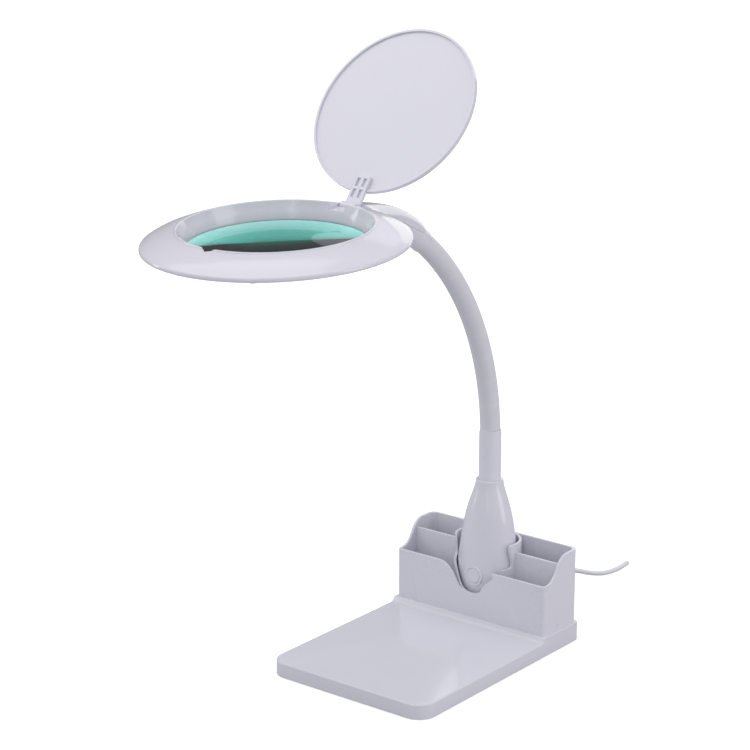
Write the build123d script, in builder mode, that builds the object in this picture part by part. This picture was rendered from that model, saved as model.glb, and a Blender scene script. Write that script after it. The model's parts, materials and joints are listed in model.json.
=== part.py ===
from build123d import *
import math
import os

os.makedirs("parts", exist_ok=True)

# ---------------------------------------------------------------------------
# Desk magnifying lamp: a tray base with an organiser box, a bulb-shaped foot
# that carries a gooseneck, and a round head with lens, LED ring and flip lid.
# Millimetres. +Z up, +X to the right, -Y towards the user. The origin is the
# centre of the base's footprint on the desk.
# ---------------------------------------------------------------------------

# --- driving dimensions: base ----------------------------------------------
base_width = 142.0
base_depth = 197.0
base_wall = 2.2
base_bottom = 0.4            # underside of the shell, held up by the feet
tray_height = 11.6
ledge_height = 15.2
ledge_front = 51.8           # y of the ledge's front edge
step_foot = 46.4             # y where the step meets the tray
front_corner = 14.0
back_corner = 4.0
cover_thickness = 1.6
foot_pad_radius = 7.0
foot_pad_places = [(52.0, -84.0), (-52.0, -84.0), (52.0, 84.0), (-52.0, 84.0)]
cover_screw_places = [(x, y) for x in (-62.0, 62.0) for y in (-78.0, -5.0, 80.0)]
ballast_size = (104.0, 116.0, 4.0)
ballast_centre_y = -15.0
ballast_bottom = 4.4
ballast_screw_places = [(-34.0, -15.0), (34.0, -15.0)]

# --- driving dimensions: organiser box -------------------------------------
box_half_width = 68.9
box_front = 53.2
box_back = 98.4
box_wall = 2.0
box_front_corner = 3.0
box_back_corner = 5.5
box_inner_corner = 6.0
box_front_rim = 54.6
box_back_rim = 73.3
pocket_floor = 20.0
divider_y = 76.0
divider_rim = 66.5
dip_half_width = 30.0
dip_bottom = 33.8
dip_end = 69.5              # y where the dip stops beside the foot
well_half_width = 25.4
well_half_depth = 20.6
box_screw_places = [(x, y) for x in (-58.0, 58.0) for y in (63.0, 88.0)]

# --- driving dimensions: lamp foot and switch ------------------------------
foot_y = 77.0                # centre of the foot's lower part
arm_y = 78.4                 # axis of the collar and the start of the gooseneck
foot_wall = 2.2
# height, half width, half depth of the bulb from the ledge upwards
foot_sections = [
    (ledge_height, 24.4, 18.0),
    (45.0, 25.0, 18.5),
    (62.0, 24.0, 18.2),
    (80.0, 21.2, 17.1),
    (96.0, 17.6, 15.1),
    (107.0, 13.9, 12.6),
    (119.8, 10.5, 10.4),
]
foot_lip_top = 119.8
foot_cavity_top = 106.0
foot_screw_x = 18.6
button_height = 46.6
button_radius = 5.85
button_travel = 1.5
bezel_radius = 8.0

# --- driving dimensions: gooseneck -----------------------------------------
neck_radius = 209.0          # bend radius of the arm's centre line at rest
neck_start_z = 150.0         # height at which the bend begins, inside the collar
collar_radius = 8.45
collar_top = 159.2
ferrule_radius = 5.0
sleeve_radius = 7.7
sleeve_bore = 6.0
core_radius = 5.8
core_bore = 3.6
hinge_count = 9
flex_start = 2.6             # degrees along the bend where the sleeve begins
flex_end = 54.2              # degrees along the bend where the sleeve ends
link_gap = 1.6               # gap between two neighbouring links
upper_collar_length = 12.0
upper_collar_radius = 8.5

# --- driving dimensions: head, all in the head's own plane ------------------
head_centre = Vector(0, -167.7, 359.8)
head_pitch = 3.3             # degrees the front of the head hangs down
head_radius = 90.2
opening_radius = 64.8
head_wall = 2.0
head_edge_z = -11.5          # height of the widest line of the rim
parting = -13.2              # height of the joint between the two head shells
head_bottom = -19.4
lens_radius = 63.5
lens_edge = 2.2
lens_curvature = 346.0       # surface radius of a three dioptre crown glass lens
lens_edge_top = -13.4
led_count = 36
head_screw_radius = 79.5
head_screw_count = 6
head_screw_seat = -14.5

# --- driving dimensions: lid ------------------------------------------------
lid_radius = 63.5
lid_skin = 1.8
lid_rim_depth = 3.2
lid_open = 130.2             # degrees the lid stands open at rest
hinge_y = 76.94              # hinge pin in the head's own plane
hinge_z = -5.55
hinge_pin_radius = 1.25
running_clearance = 0.05

# --- driving dimensions: cord -----------------------------------------------
cord_radius = 1.85
cord_exit_x = -22.0
cord_exit_z = 8.0


# --- planes and points shared by several pieces -----------------------------
pitch = math.radians(head_pitch)
head_plane = Plane(
    origin=head_centre,
    x_dir=(1, 0, 0),
    z_dir=(0, -math.sin(pitch), math.cos(pitch)),
)
head_side = Plane(origin=head_centre, x_dir=head_plane.y_dir, z_dir=(1, 0, 0))
head_axis = Axis(head_centre, head_plane.z_dir)


def in_head(x, y, z):
    """A point given in the head's own plane, as a point of the lamp."""
    return head_plane.from_local_coords(Vector(x, y, z))


def head_section(y, z, along_y, along_z):
    """A plane across the head's neck, facing along the given direction."""
    direction = head_plane.y_dir * along_y + head_plane.z_dir * along_z
    return Plane(origin=in_head(0, y, z), x_dir=(1, 0, 0), z_dir=direction)


def neck_point(angle):
    """A point on the gooseneck's centre line, angle in degrees along the bend."""
    turn = math.radians(angle)
    y = arm_y - neck_radius + neck_radius * math.cos(turn)
    return Vector(0, y, neck_start_z + neck_radius * math.sin(turn))


def neck_section(angle):
    """The plane across the gooseneck at an angle along the bend."""
    turn = math.radians(angle)
    direction = (0, -math.sin(turn), math.cos(turn))
    return Plane(origin=neck_point(angle), x_dir=(1, 0, 0), z_dir=direction)


def degrees_of(length):
    """The angle along the bend that a length of the centre line covers."""
    return math.degrees(length / neck_radius)


hinge_step = (flex_end - flex_start) / hinge_count
hinge_angles = [flex_start + hinge_step * (i + 0.5) for i in range(hinge_count)]
neck_end = neck_section(flex_end)

hinge_point = in_head(0, hinge_y, hinge_z)
swing = math.radians(180.0 - lid_open)
lid_outward = head_plane.y_dir * math.cos(swing) + head_plane.z_dir * math.sin(swing)
lid_outer_side = head_plane.y_dir * math.sin(swing) - head_plane.z_dir * math.cos(swing)
# x runs along the hinge pin, y from the hinge over the lid, z into its inner face
lid_plane = Plane(origin=hinge_point, x_dir=(1, 0, 0), z_dir=-lid_outer_side)
lid_face = -hinge_z          # how far the lid's outer face stands above the pin


# ===========================================================================
# Base
# ===========================================================================

def base_outline(inset):
    """The base's plan, drawn inside its edge by inset."""
    with BuildSketch() as outline:
        Rectangle(base_width - 2 * inset, base_depth - 2 * inset)
        fillet(outline.vertices().group_by(Axis.Y)[0], front_corner - inset)
        back = outline.vertices().group_by(Axis.Y)[-1]
        fillet(back, max(back_corner - inset, 1.0))
    return outline.sketch


# Base tray: one moulding with a low tray in front and a ledge for the box
with BuildPart() as base_tray:
    with BuildSketch(Plane.XY.offset(base_bottom)):
        add(base_outline(0))
    extrude(amount=ledge_height - base_bottom)
    with BuildSketch(Plane.YZ):
        with BuildLine():
            over = base_depth
            Line((ledge_front, ledge_height + over), (ledge_front, ledge_height))
            Spline(
                (ledge_front, ledge_height),
                (step_foot, tray_height),
                tangents=[(-0.8, -1), (-1, 0)],
            )
            Polyline(
                (step_foot, tray_height),
                (-over, tray_height),
                (-over, ledge_height + over),
                (ledge_front, ledge_height + over),
            )
        make_face()
    extrude(amount=base_width, both=True, mode=Mode.SUBTRACT)
    tray_face = base_tray.faces().filter_by(Axis.Z).group_by(Axis.Z)[-2]
    tray_rim = [e for e in tray_face[0].edges() if e.center().Y < step_foot - 1]
    fillet(tray_rim, 1.0)
    ledge_face = base_tray.faces().filter_by(Axis.Z).sort_by(Axis.Z)[-1]
    ledge_rim = [e for e in ledge_face.edges() if e.center().Y > ledge_front + 1]
    fillet(ledge_rim, 0.8)
    # hollow underside
    with BuildSketch(Plane.XY.offset(base_bottom)):
        add(base_outline(base_wall))
    extrude(amount=tray_height - base_wall - base_bottom, mode=Mode.SUBTRACT)
    room_front = ledge_front + 3.0
    room_back = base_depth / 2 - base_wall
    with BuildSketch(Plane.XY.offset(base_bottom)):
        with Locations((0, (room_front + room_back) / 2)):
            Rectangle(base_width - 2 * base_wall - 4, room_back - room_front)
    extrude(amount=ledge_height - base_wall - base_bottom, mode=Mode.SUBTRACT)
    # screw bosses that reach up to the underside of the tray and the ledge
    boss_bottom = base_bottom + cover_thickness + 0.1
    for x, y in cover_screw_places:
        roof = ledge_height if y > ledge_front else tray_height
        with BuildSketch(Plane.XY.offset(boss_bottom)):
            with Locations((x, y)):
                Circle(3.4)
        extrude(amount=roof - 1.2 - boss_bottom)
    with BuildSketch(Plane.XY.offset(boss_bottom)):
        with Locations(*cover_screw_places):
            Circle(1.35)
    extrude(amount=6.4, mode=Mode.SUBTRACT)
    with BuildSketch(Plane.XY.offset(tray_height - base_wall)):
        with Locations(*ballast_screw_places):
            Circle(1.45)
    extrude(amount=1.2, mode=Mode.SUBTRACT)
    # holes through the ledge for the box screws, the foot screws and the leads
    with BuildSketch(Plane.XY.offset(ledge_height)):
        with Locations(*box_screw_places):
            Circle(1.7)
        with Locations((-foot_screw_x, foot_y), (foot_screw_x, foot_y)):
            Circle(1.9)
        with Locations((0, foot_y)):
            Circle(5.0)
    extrude(amount=-base_wall - 1, mode=Mode.SUBTRACT)
    # hole in the back wall for the cord's grommet
    with BuildSketch(Plane.XZ.offset(-base_depth / 2 - 1)):
        with Locations((cord_exit_x, cord_exit_z)):
            Circle(4.0)
    extrude(amount=base_wall + 3, mode=Mode.SUBTRACT)
base_tray.part.label = "base_tray"
export_step(base_tray.part, "parts/base_tray.step")

# Bottom cover with standoffs for the driver board
driver_centre = (36.0, 74.0)
driver_size = (40.0, 24.0, 1.6)
driver_bottom = 5.4
driver_posts = [(driver_centre[0] - 15.0, 74.0), (driver_centre[0] + 15.0, 74.0)]
with BuildPart() as base_cover:
    with BuildSketch(Plane.XY.offset(base_bottom)):
        add(base_outline(base_wall + 0.2))
    extrude(amount=cover_thickness)
    with BuildSketch(Plane.XY.offset(base_bottom)):
        with Locations(*foot_pad_places):
            Circle(foot_pad_radius + 0.1)
    extrude(amount=0.6, mode=Mode.SUBTRACT)
    with Locations(*[(x, y, base_bottom) for x, y in cover_screw_places]):
        with Locations(Rotation(180, 0, 0)):
            CounterSinkHole(radius=1.6, counter_sink_radius=2.9, depth=cover_thickness)
    with BuildSketch(Plane.XY.offset(base_bottom + cover_thickness)):
        with Locations(*driver_posts):
            Circle(2.6)
    extrude(amount=driver_bottom - base_bottom - cover_thickness)
    with BuildSketch(Plane.XY.offset(driver_bottom)):
        with Locations(*driver_posts):
            Circle(1.0)
    extrude(amount=-2.0, mode=Mode.SUBTRACT)
base_cover.part.label = "base_cover"
export_step(base_cover.part, "parts/base_cover.step")

# Steel ballast plate that keeps the lamp from tipping
with BuildPart() as ballast_plate:
    with BuildSketch(Plane.XY.offset(ballast_bottom)):
        with Locations((0, ballast_centre_y)):
            RectangleRounded(ballast_size[0], ballast_size[1], 8.0)
        with Locations(*ballast_screw_places):
            Circle(1.7, mode=Mode.SUBTRACT)
    extrude(amount=ballast_size[2])
ballast_plate.part.label = "ballast_plate"
export_step(ballast_plate.part, "parts/ballast_plate.step")


def pan_head_screws(places, seat, screw_head, head_height, shank, length):
    """Screws that point up, with the underside of the head on height seat."""
    with BuildPart() as screws:
        with BuildSketch(Plane.XY.offset(seat)):
            with Locations(*places):
                Circle(screw_head)
        extrude(amount=-head_height)
        with BuildSketch(Plane.XY.offset(seat)):
            with Locations(*places):
                Circle(shank)
        extrude(amount=length)
        with BuildSketch(Plane.XY.offset(seat - head_height)):
            with Locations(*places):
                Rectangle(screw_head * 1.2, 0.5)
                Rectangle(0.5, screw_head * 1.2)
        extrude(amount=head_height / 2, mode=Mode.SUBTRACT)
    return screws


ballast_screws = pan_head_screws(ballast_screw_places, ballast_bottom, 2.7, 1.4, 1.4, 5.8)
ballast_screws.part.label = "ballast_screws"
export_step(ballast_screws.part, "parts/ballast_screws.step")

# Countersunk screws that hold the bottom cover
with BuildPart() as cover_screws:
    for x, y in cover_screw_places:
        with BuildSketch(Plane.XZ.offset(-y)):
            with BuildLine():
                Polyline(
                    (x, base_bottom + 0.05),
                    (x + 2.8, base_bottom + 0.05),
                    (x + 1.3, base_bottom + 1.45),
                    (x + 1.3, base_bottom + 7.2),
                    (x, base_bottom + 7.9),
                    close=True,
                )
            make_face()
        revolve(axis=Axis((x, y, 0), (0, 0, 1)))
    with BuildSketch(Plane.XY.offset(base_bottom)):
        with Locations(*cover_screw_places):
            Rectangle(2.8, 0.5)
            Rectangle(0.5, 2.8)
    extrude(amount=0.7, mode=Mode.SUBTRACT)
cover_screws.part.label = "cover_screws"
export_step(cover_screws.part, "parts/cover_screws.step")

# Rubber feet stuck into the cover's recesses
with BuildPart() as rubber_feet:
    with BuildSketch(Plane.XY):
        with Locations(*foot_pad_places):
            Circle(foot_pad_radius)
    extrude(amount=base_bottom + 0.55)
    chamfer(rubber_feet.edges().group_by(Axis.Z)[0], 0.3)
rubber_feet.part.label = "rubber_feet"
export_step(rubber_feet.part, "parts/rubber_feet.step")

# Driver board and its parts, under the ledge
with BuildPart() as driver_board:
    with BuildSketch(Plane.XY.offset(driver_bottom + 0.05)):
        with Locations(driver_centre):
            Rectangle(driver_size[0], driver_size[1])
        with Locations(*driver_posts):
            Circle(1.2, mode=Mode.SUBTRACT)
    extrude(amount=driver_size[2])
driver_board.part.label = "driver_board"
export_step(driver_board.part, "parts/driver_board.step")

board_top = driver_bottom + 0.05 + driver_size[2]
with BuildPart() as driver_components:
    with BuildSketch(Plane.XY.offset(board_top + 0.02)):
        with Locations((driver_centre[0] - 5, driver_centre[1] + 5)):
            Circle(4.0)
        with Locations((driver_centre[0] + 6, driver_centre[1] + 4)):
            RectangleRounded(8, 8, 1)
    extrude(amount=5.0)
    with BuildSketch(Plane.XY.offset(board_top + 0.02)):
        with Locations((driver_centre[0], driver_centre[1] - 6)):
            Rectangle(6, 5)
        with Locations((driver_centre[0] - 12, driver_centre[1] - 7)):
            Rectangle(5, 3)
    extrude(amount=1.6)
driver_components.part.label = "driver_components"
export_step(driver_components.part, "parts/driver_components.step")

with BuildPart() as driver_screws:
    for x, y in driver_posts:
        with BuildSketch(Plane.XY.offset(board_top + 0.02)):
            with Locations((x, y)):
                Circle(2.0)
        extrude(amount=1.2)
        with BuildSketch(Plane.XY.offset(board_top + 0.02)):
            with Locations((x, y)):
                Circle(0.95)
        extrude(amount=-3.4)
driver_screws.part.label = "driver_screws"
export_step(driver_screws.part, "parts/driver_screws.step")

# Grommet that anchors the cord in the back wall
back_face = base_depth / 2
grommet_plane = Plane(
    origin=(cord_exit_x, back_face, cord_exit_z), x_dir=(0, 1, 0), z_dir=(1, 0, 0)
)
with BuildPart() as cord_grommet:
    with BuildSketch(grommet_plane):
        with BuildLine():
            Polyline(
                (-base_wall - 1.4, cord_radius + 0.05),
                (9.0, cord_radius + 0.05),
                (9.0, cord_radius + 0.85),
                (1.6, 3.4),
                (1.4, 5.2),
                (0.05, 5.2),
                (0.05, 3.92),
                (-base_wall - 0.05, 3.92),
                (-base_wall - 0.05, 5.0),
                (-base_wall - 1.4, 4.4),
                close=True,
            )
        make_face()
    revolve(axis=Axis((cord_exit_x, 0, cord_exit_z), (0, 1, 0)))
cord_grommet.part.label = "cord_grommet"
export_step(cord_grommet.part, "parts/cord_grommet.step")

# Power cord, lying on the desk behind the base. It ends level with the head's
# overhang in front, so the lamp's footprint stays centred on the base.
head_front = in_head(0, -head_radius, head_edge_z).Y
cord_end_y = -head_front
with BuildPart() as power_cord:
    grommet_end = (cord_exit_x, back_face + 9.5, cord_exit_z)
    touch_down = (cord_exit_x, back_face + 40.0, cord_radius)
    with BuildLine() as cord_path:
        Line((cord_exit_x, back_face - 9.0, cord_exit_z), grommet_end)
        Spline(grommet_end, touch_down, tangents=[(0, 1, 0), (0, 1, 0)])
        Spline(
            touch_down,
            (-20.5, back_face + 97.5, cord_radius),
            (-11.0, back_face + 116.0, cord_radius),
            (1.0, back_face + 119.1, cord_radius),
            (10.5, back_face + 124.5, cord_radius),
            (15.0, back_face + 138.5, cord_radius),
            (13.9, cord_end_y, cord_radius),
            tangents=[(0, 1, 0), (-0.1, 1, 0)],
        )
    with BuildSketch(Plane(origin=cord_path.line @ 0, z_dir=cord_path.line % 0)):
        Circle(cord_radius)
    sweep()
power_cord.part.label = "power_cord"
export_step(power_cord.part, "parts/power_cord.step")


# ===========================================================================
# Organiser box
# ===========================================================================

box_depth = box_back - box_front
box_middle = (box_front + box_back) / 2
box_top = box_back_rim


def box_outline(inset):
    """The box's plan, drawn inside its edge by inset."""
    with BuildSketch() as outline:
        with Locations((0, box_middle)):
            Rectangle(2 * (box_half_width - inset), box_depth - 2 * inset)
        front = outline.vertices().group_by(Axis.Y)[0]
        fillet(front, box_front_corner - inset / 2)
        back = outline.vertices().group_by(Axis.Y)[-1]
        fillet(back, box_inner_corner if inset else box_back_corner)
    return outline.sketch


def above_rim(rise_start, rise_end, centre_x):
    """What lies above a rim that rises in an S from the front to the back."""
    high = box_back_rim + 10
    with BuildSketch(Plane.YZ.offset(centre_x)) as profile:
        with BuildLine():
            Spline(
                (rise_start, box_front_rim),
                ((rise_start + rise_end) / 2, (box_front_rim + box_back_rim) / 2),
                (rise_end, box_back_rim),
                tangents=[(1, 0), (1, 0)],
            )
            Polyline(
                (rise_end, box_back_rim),
                (rise_end, high),
                (box_front - 5, high),
                (box_front - 5, box_front_rim),
                (rise_start, box_front_rim),
            )
        make_face()
    return profile.sketch


with BuildPart() as organiser_box:
    with BuildSketch(Plane.XY.offset(ledge_height)):
        add(box_outline(0))
    extrude(amount=box_top - ledge_height)
    # pockets
    with BuildSketch(Plane.XY.offset(pocket_floor)):
        add(box_outline(box_wall))
        with Locations((0, foot_y)):
            Ellipse(
                well_half_width + box_wall,
                well_half_depth + box_wall,
                mode=Mode.SUBTRACT,
            )
    extrude(amount=box_top, mode=Mode.SUBTRACT)
    # well for the lamp's foot, open at both ends
    with BuildSketch(Plane.XY.offset(ledge_height - 1)):
        with Locations((0, foot_y)):
            Ellipse(well_half_width, well_half_depth)
        with Locations((0, box_middle)):
            Rectangle(
                2 * box_half_width, box_depth - 2 * box_wall, mode=Mode.INTERSECT
            )
    extrude(amount=box_top, mode=Mode.SUBTRACT)
    # rims: a gentle rise on the side walls, a steep one beside the foot
    side_band = (box_half_width - dip_half_width) / 2 + 1
    for side in (-1, 1):
        side_rim = above_rim(57.0, 84.0, side * (box_half_width + dip_half_width) / 2)
        extrude(side_rim, amount=side_band, both=True, mode=Mode.SUBTRACT)
    well_rim = above_rim(dip_end - 0.1, dip_end + 3.2, 0)
    extrude(well_rim, amount=dip_half_width, both=True, mode=Mode.SUBTRACT)
    # dip in the front wall that shows the foot and its button
    with BuildSketch(Plane.XZ.offset(-box_front + 5)):
        with BuildLine():
            Spline(
                (-dip_half_width, box_front_rim + 0.01),
                (-21.3, 51.8),
                (-14.4, 44.0),
                (-9.4, 36.8),
                (0, dip_bottom),
                (9.4, 36.8),
                (14.4, 44.0),
                (21.3, 51.8),
                (dip_half_width, box_front_rim + 0.01),
                tangents=[(1, -0.02), (1, 0.02)],
            )
            Polyline(
                (dip_half_width, box_front_rim + 0.01),
                (dip_half_width, box_top + 5),
                (-dip_half_width, box_top + 5),
                (-dip_half_width, box_front_rim + 0.01),
            )
        make_face()
    extrude(amount=-(dip_end - box_front + 5), mode=Mode.SUBTRACT)
    # one low divider in each pocket
    divider_length = box_half_width - box_wall / 2 - well_half_width - box_wall / 2
    divider_middle = well_half_width + box_wall / 2 + divider_length / 2
    with BuildSketch(Plane.XY.offset(pocket_floor - 0.5)):
        with Locations((divider_middle, divider_y), (-divider_middle, divider_y)):
            Rectangle(divider_length, box_wall - 0.2)
    extrude(amount=divider_rim - pocket_floor + 0.5)
    # hollow under the floor, with bosses for the screws
    with BuildSketch(Plane.XY.offset(ledge_height)):
        add(box_outline(box_wall))
        with Locations((0, foot_y)):
            Ellipse(
                well_half_width + box_wall,
                well_half_depth + box_wall,
                mode=Mode.SUBTRACT,
            )
        with Locations(*box_screw_places):
            Circle(3.6, mode=Mode.SUBTRACT)
    extrude(amount=pocket_floor - box_wall - ledge_height, mode=Mode.SUBTRACT)
    with BuildSketch(Plane.XY.offset(ledge_height)):
        with Locations(*box_screw_places):
            Circle(1.45)
    extrude(amount=3.9, mode=Mode.SUBTRACT)
    bottom_rim = organiser_box.faces().sort_by(Axis.Z)[0].outer_wire().edges()
    chamfer(bottom_rim, 0.35)
organiser_box.part.label = "organiser_box"
export_step(organiser_box.part, "parts/organiser_box.step")

ledge_underside = ledge_height - base_wall
box_screws = pan_head_screws(box_screw_places, ledge_underside - 0.02, 2.8, 1.5, 1.4, 5.9)
box_screws.part.label = "box_screws"
export_step(box_screws.part, "parts/box_screws.step")


# ===========================================================================
# Lamp foot, switch and the gooseneck's lower fixing
# ===========================================================================

def foot_section(height, half_width, half_depth):
    """One elliptical section of the bulb; it leans from foot_y to arm_y."""
    share = (height - ledge_height) / (foot_sections[-1][0] - ledge_height)
    with BuildSketch(Plane.XY.offset(height)) as section:
        with Locations((0, foot_y + (arm_y - foot_y) * share)):
            Ellipse(half_width, half_depth)
    return section.sketch


foot_face = foot_y - foot_sections[1][2]      # y of the bulb's front at the button
button_plane = Plane(
    origin=(0, foot_face, button_height), x_dir=(1, 0, 0), z_dir=(0, 1, 0)
)

with BuildPart() as lamp_foot:
    loft([foot_section(*section) for section in foot_sections])
    fillet(lamp_foot.edges().group_by(Axis.Z)[-1], 0.9)
    # cavity, closed at the top where the gooseneck is clamped
    cavity = [
        foot_section(height, half_width - foot_wall, half_depth - foot_wall)
        for height, half_width, half_depth in foot_sections[:-2]
    ]
    cavity.append(foot_section(foot_cavity_top, 11.4, 10.2))
    loft(cavity, mode=Mode.SUBTRACT)
    with BuildSketch(Plane.XY.offset(foot_lip_top)):
        with Locations((0, arm_y)):
            Circle(ferrule_radius + running_clearance)
    extrude(amount=-(foot_lip_top - foot_cavity_top + 1), mode=Mode.SUBTRACT)
    # bosses for the screws that come up from the base
    with BuildSketch(Plane.XY.offset(ledge_height + 2.4)):
        with Locations((-foot_screw_x, foot_y), (foot_screw_x, foot_y)):
            Circle(4.2)
    extrude(amount=18)
    with BuildSketch(Plane.XY.offset(ledge_height + 2.4)):
        with Locations((-foot_screw_x, foot_y), (foot_screw_x, foot_y)):
            Circle(1.65)
    extrude(amount=14, mode=Mode.SUBTRACT)
    # ring that holds the switch, then the bore and the seat of its bezel
    with BuildSketch(button_plane.offset(1.8)):
        Circle(9.4)
    extrude(amount=8.0)
    with BuildSketch(button_plane.offset(-3)):
        Circle(bezel_radius + 0.05)
    extrude(amount=4.3, mode=Mode.SUBTRACT)
    with BuildSketch(button_plane):
        Circle(6.6)
    extrude(amount=12, mode=Mode.SUBTRACT)
    with BuildSketch(button_plane.offset(5.6)):
        Circle(7.6)
    extrude(amount=12, mode=Mode.SUBTRACT)
lamp_foot.part.label = "lamp_foot"
export_step(lamp_foot.part, "parts/lamp_foot.step")

# Plate that closes the foot and spreads the load of its screws
with BuildPart() as foot_plate:
    with BuildSketch(Plane.XY.offset(ledge_height + 0.05)):
        with Locations((0, foot_y)):
            Ellipse(
                foot_sections[0][1] - foot_wall - 0.4,
                foot_sections[0][2] - foot_wall - 0.4,
            )
            Circle(6.0, mode=Mode.SUBTRACT)
        with Locations((-foot_screw_x, foot_y), (foot_screw_x, foot_y)):
            Circle(1.9, mode=Mode.SUBTRACT)
    extrude(amount=2.3)
foot_plate.part.label = "foot_plate"
export_step(foot_plate.part, "parts/foot_plate.step")

foot_screws = pan_head_screws(
    [(-foot_screw_x, foot_y), (foot_screw_x, foot_y)],
    seat=ledge_underside - 0.02,
    screw_head=3.2,
    head_height=1.9,
    shank=1.6,
    length=14.0,
)
foot_screws.part.label = "foot_screws"
export_step(foot_screws.part, "parts/foot_screws.step")

# Bezel ring around the push button
with BuildPart() as switch_bezel:
    with BuildSketch(button_plane.offset(-0.3)):
        Circle(bezel_radius)
        Circle(button_radius + 0.15, mode=Mode.SUBTRACT)
    extrude(amount=1.55)
    fillet(switch_bezel.edges().group_by(Axis.Y)[0], 0.25)
    with BuildSketch(button_plane.offset(1.2)):
        Circle(6.5)
        Circle(button_radius + 0.15, mode=Mode.SUBTRACT)
    extrude(amount=3.0)
switch_bezel.part.label = "switch_bezel"
export_step(switch_bezel.part, "parts/switch_bezel.step")

# Push button cap, slightly dished, with a stem towards the switch
with BuildPart() as power_button:
    with BuildSketch(button_plane.offset(-0.5)):
        Circle(button_radius)
    extrude(amount=2.8)
    fillet(power_button.edges().group_by(Axis.Y)[0], 0.5)
    with BuildSketch(button_plane.offset(2.2)):
        Rectangle(4, 4)
    extrude(amount=2.3)
    with Locations(button_plane.offset(-40.1)):
        Sphere(39.8, mode=Mode.SUBTRACT)
power_button.part.label = "power_button"
export_step(power_button.part, "parts/power_button.step")

# Latching switch behind the button, with two solder tags
with BuildPart() as switch_body:
    with BuildSketch(button_plane.offset(6.2)):
        Circle(7.5)
    extrude(amount=9.0)
    with BuildSketch(button_plane.offset(15.2)):
        with Locations((-3, 0), (3, 0)):
            Rectangle(0.8, 3.0)
    extrude(amount=4.0)
switch_body.part.label = "switch_body"
export_step(switch_body.part, "parts/switch_body.step")

with BuildPart() as lower_ferrule:
    with BuildSketch(Plane.XY.offset(foot_cavity_top - 9.0)):
        with Locations((0, arm_y)):
            Circle(ferrule_radius)
            Circle(3.2, mode=Mode.SUBTRACT)
    extrude(amount=neck_start_z - foot_cavity_top + 9.0)
lower_ferrule.part.label = "lower_ferrule"
export_step(lower_ferrule.part, "parts/lower_ferrule.step")

with BuildPart() as ferrule_nut:
    with BuildSketch(Plane.XY.offset(foot_cavity_top - 7.4)):
        with Locations((0, arm_y)):
            RegularPolygon(7.5, 6)
            Circle(ferrule_radius + running_clearance, mode=Mode.SUBTRACT)
    extrude(amount=5.5)
ferrule_nut.part.label = "ferrule_nut"
export_step(ferrule_nut.part, "parts/ferrule_nut.step")

with BuildPart() as ferrule_washer:
    with BuildSketch(Plane.XY.offset(foot_cavity_top - 1.8)):
        with Locations((0, arm_y)):
            Circle(8.6)
            Circle(ferrule_radius + running_clearance, mode=Mode.SUBTRACT)
    extrude(amount=1.4)
ferrule_washer.part.label = "ferrule_washer"
export_step(ferrule_washer.part, "parts/ferrule_washer.step")

# Rigid lower collar with a bevelled top band
with BuildPart() as lower_collar:
    with BuildSketch(Plane.XY.offset(foot_lip_top + 0.05)):
        with Locations((0, arm_y)):
            Circle(collar_radius)
    extrude(amount=collar_top - foot_lip_top - 0.1)
    chamfer(lower_collar.edges().group_by(Axis.Z)[-1], 3.2, 0.5)
    with BuildSketch(Plane.XY.offset(foot_lip_top)):
        with Locations((0, arm_y)):
            Circle(ferrule_radius + running_clearance)
    extrude(amount=neck_start_z - foot_lip_top + 0.3, mode=Mode.SUBTRACT)
    with BuildSketch(Plane.XY.offset(neck_start_z)):
        with Locations((0, arm_y)):
            Circle(core_radius + 0.25)
    extrude(amount=20, mode=Mode.SUBTRACT)
lower_collar.part.label = "lower_collar"
export_step(lower_collar.part, "parts/lower_collar.step")


# ===========================================================================
# Gooseneck: steel core and soft sleeve, cut into links that hinge in turn
# ===========================================================================

gap_angle = degrees_of(link_gap / 2)
link_ends = [flex_start + 0.05] + hinge_angles + [flex_end - 0.05]

for link in range(hinge_count + 1):
    low = link_ends[link] + (gap_angle if link > 0 else 0)
    high = link_ends[link + 1] - (gap_angle if link < hinge_count else 0)
    with BuildPart() as neck_sleeve:
        with BuildSketch(neck_section(low)):
            Circle(sleeve_radius)
            Circle(sleeve_bore, mode=Mode.SUBTRACT)
        bend_centre = (0, arm_y - neck_radius, neck_start_z)
        revolve(axis=Axis(bend_centre, (1, 0, 0)), revolution_arc=high - low)
    neck_sleeve.part.label = f"neck_sleeve_{link}"
    export_step(neck_sleeve.part, f"parts/neck_sleeve_{link}.step")

    core_low = degrees_of(0.5) if link == 0 else low
    with BuildPart() as neck_core:
        with BuildSketch(neck_section(core_low)):
            Circle(core_radius)
            Circle(core_bore, mode=Mode.SUBTRACT)
        revolve(axis=Axis(bend_centre, (1, 0, 0)), revolution_arc=high - core_low)
    neck_core.part.label = f"neck_core_{link}"
    export_step(neck_core.part, f"parts/neck_core_{link}.step")


# ===========================================================================
# Head: upper fixing of the gooseneck
# ===========================================================================

with BuildPart() as upper_collar:
    with BuildSketch(neck_end.offset(0.1)):
        Circle(upper_collar_radius)
        Circle(ferrule_radius + running_clearance, mode=Mode.SUBTRACT)
    extrude(amount=upper_collar_length - 0.2)
    ends = upper_collar.edges().filter_by(GeomType.CIRCLE).group_by(SortBy.RADIUS)[-1]
    fillet(ends, 0.6)
upper_collar.part.label = "upper_collar"
export_step(upper_collar.part, "parts/upper_collar.step")

with BuildPart() as upper_ferrule:
    with BuildSketch(neck_end.offset(0.15)):
        Circle(ferrule_radius)
        Circle(3.2, mode=Mode.SUBTRACT)
    extrude(amount=31.0)
upper_ferrule.part.label = "upper_ferrule"
export_step(upper_ferrule.part, "parts/upper_ferrule.step")


# ===========================================================================
# Head shells
# ===========================================================================

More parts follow.
